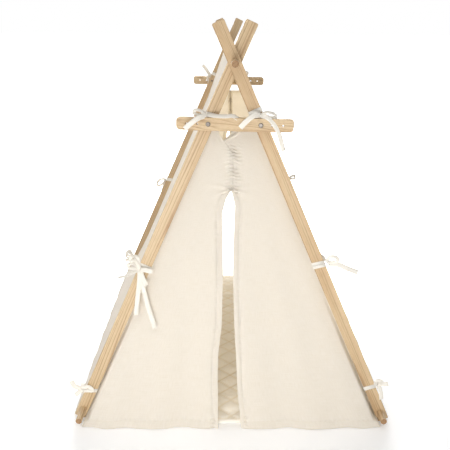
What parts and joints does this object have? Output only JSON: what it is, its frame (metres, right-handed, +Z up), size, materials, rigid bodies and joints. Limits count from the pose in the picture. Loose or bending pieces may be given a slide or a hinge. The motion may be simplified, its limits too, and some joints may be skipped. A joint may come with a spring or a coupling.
{
  "type": "kids teepee",
  "caption": "Children's A-frame play teepee: crossed wooden poles with dowels and short crossbars, a light canvas cover tied on with tapes, a door slit and a quilted floor mat.",
  "frame": {"origin": "middle of the footprint, on the floor", "axes": "+Z up; -Y out through the front door slit; +X to the right when the door is looked at from the front"},
  "size_m": [1.1582, 1.536, 1.3864],
  "materials": {
    "pine_board": "clear matt lacquer on straight-grained pine",
    "pine_dowel": "sanded round dowel",
    "cotton_canvas": "plain woven natural cotton",
    "cotton_tape": "folded and stitched cotton tape",
    "quilted_cotton": "quilted cotton with wadding",
    "dark_steel": "bronzed steel"
  },
  "bodies": {
    "left_frame": {"pole_front_left": "pine_board", "nut_front_left": "dark_steel", "flap_front_left": "cotton_canvas", "tie_front_left_low": "cotton_tape", "tie_front_left_middle": "cotton_tape", "tie_front_left_top": "cotton_tape", "crossbar_back": "pine_board", "pole_back_left": "pine_board", "bolt_back_left": "dark_steel", "nut_back_left": "dark_steel", "flap_back_left": "cotton_canvas", "tie_back_left_low": "cotton_tape", "tie_back_left_middle": "cotton_tape", "tie_back_left_top": "cotton_tape", "bolt_back_right": "dark_steel", "dowel_ridge": "pine_dowel", "floor_mat": "quilted_cotton", "dowel_left": "pine_dowel", "cover_side_left": "cotton_canvas"},
    "right_frame": {"crossbar_front": "pine_board", "bolt_front_left": "dark_steel", "pole_front_right": "pine_board", "bolt_front_right": "dark_steel", "nut_front_right": "dark_steel", "flap_front_right": "cotton_canvas", "tie_front_right_low": "cotton_tape", "tie_front_right_middle": "cotton_tape", "tie_front_right_top": "cotton_tape", "pole_back_right": "pine_board", "nut_back_right": "dark_steel", "flap_back_right": "cotton_canvas", "tie_back_right_low": "cotton_tape", "tie_back_right_middle": "cotton_tape", "tie_back_right_top": "cotton_tape", "dowel_right": "pine_dowel", "cover_side_right": "cotton_canvas"}
  },
  "joints": [
    {"name": "fold", "type": "hinge", "parent": "left_frame", "child": "right_frame", "pos_m": [0, 0, 1.26091], "axis": [0, 1, 0], "range_deg": [0, 46], "deforming": ["flap_back_left", "flap_back_right", "flap_front_left", "flap_front_right", "tie_back_left_low", "tie_back_left_middle", "tie_back_left_top", "tie_back_right_low", "tie_back_right_middle", "tie_back_right_top", "tie_front_left_low", "tie_front_left_middle", "tie_front_left_top", "tie_front_right_low", "tie_front_right_middle", "tie_front_right_top", "cover_side_left", "cover_side_right", "floor_mat"]}
  ]
}
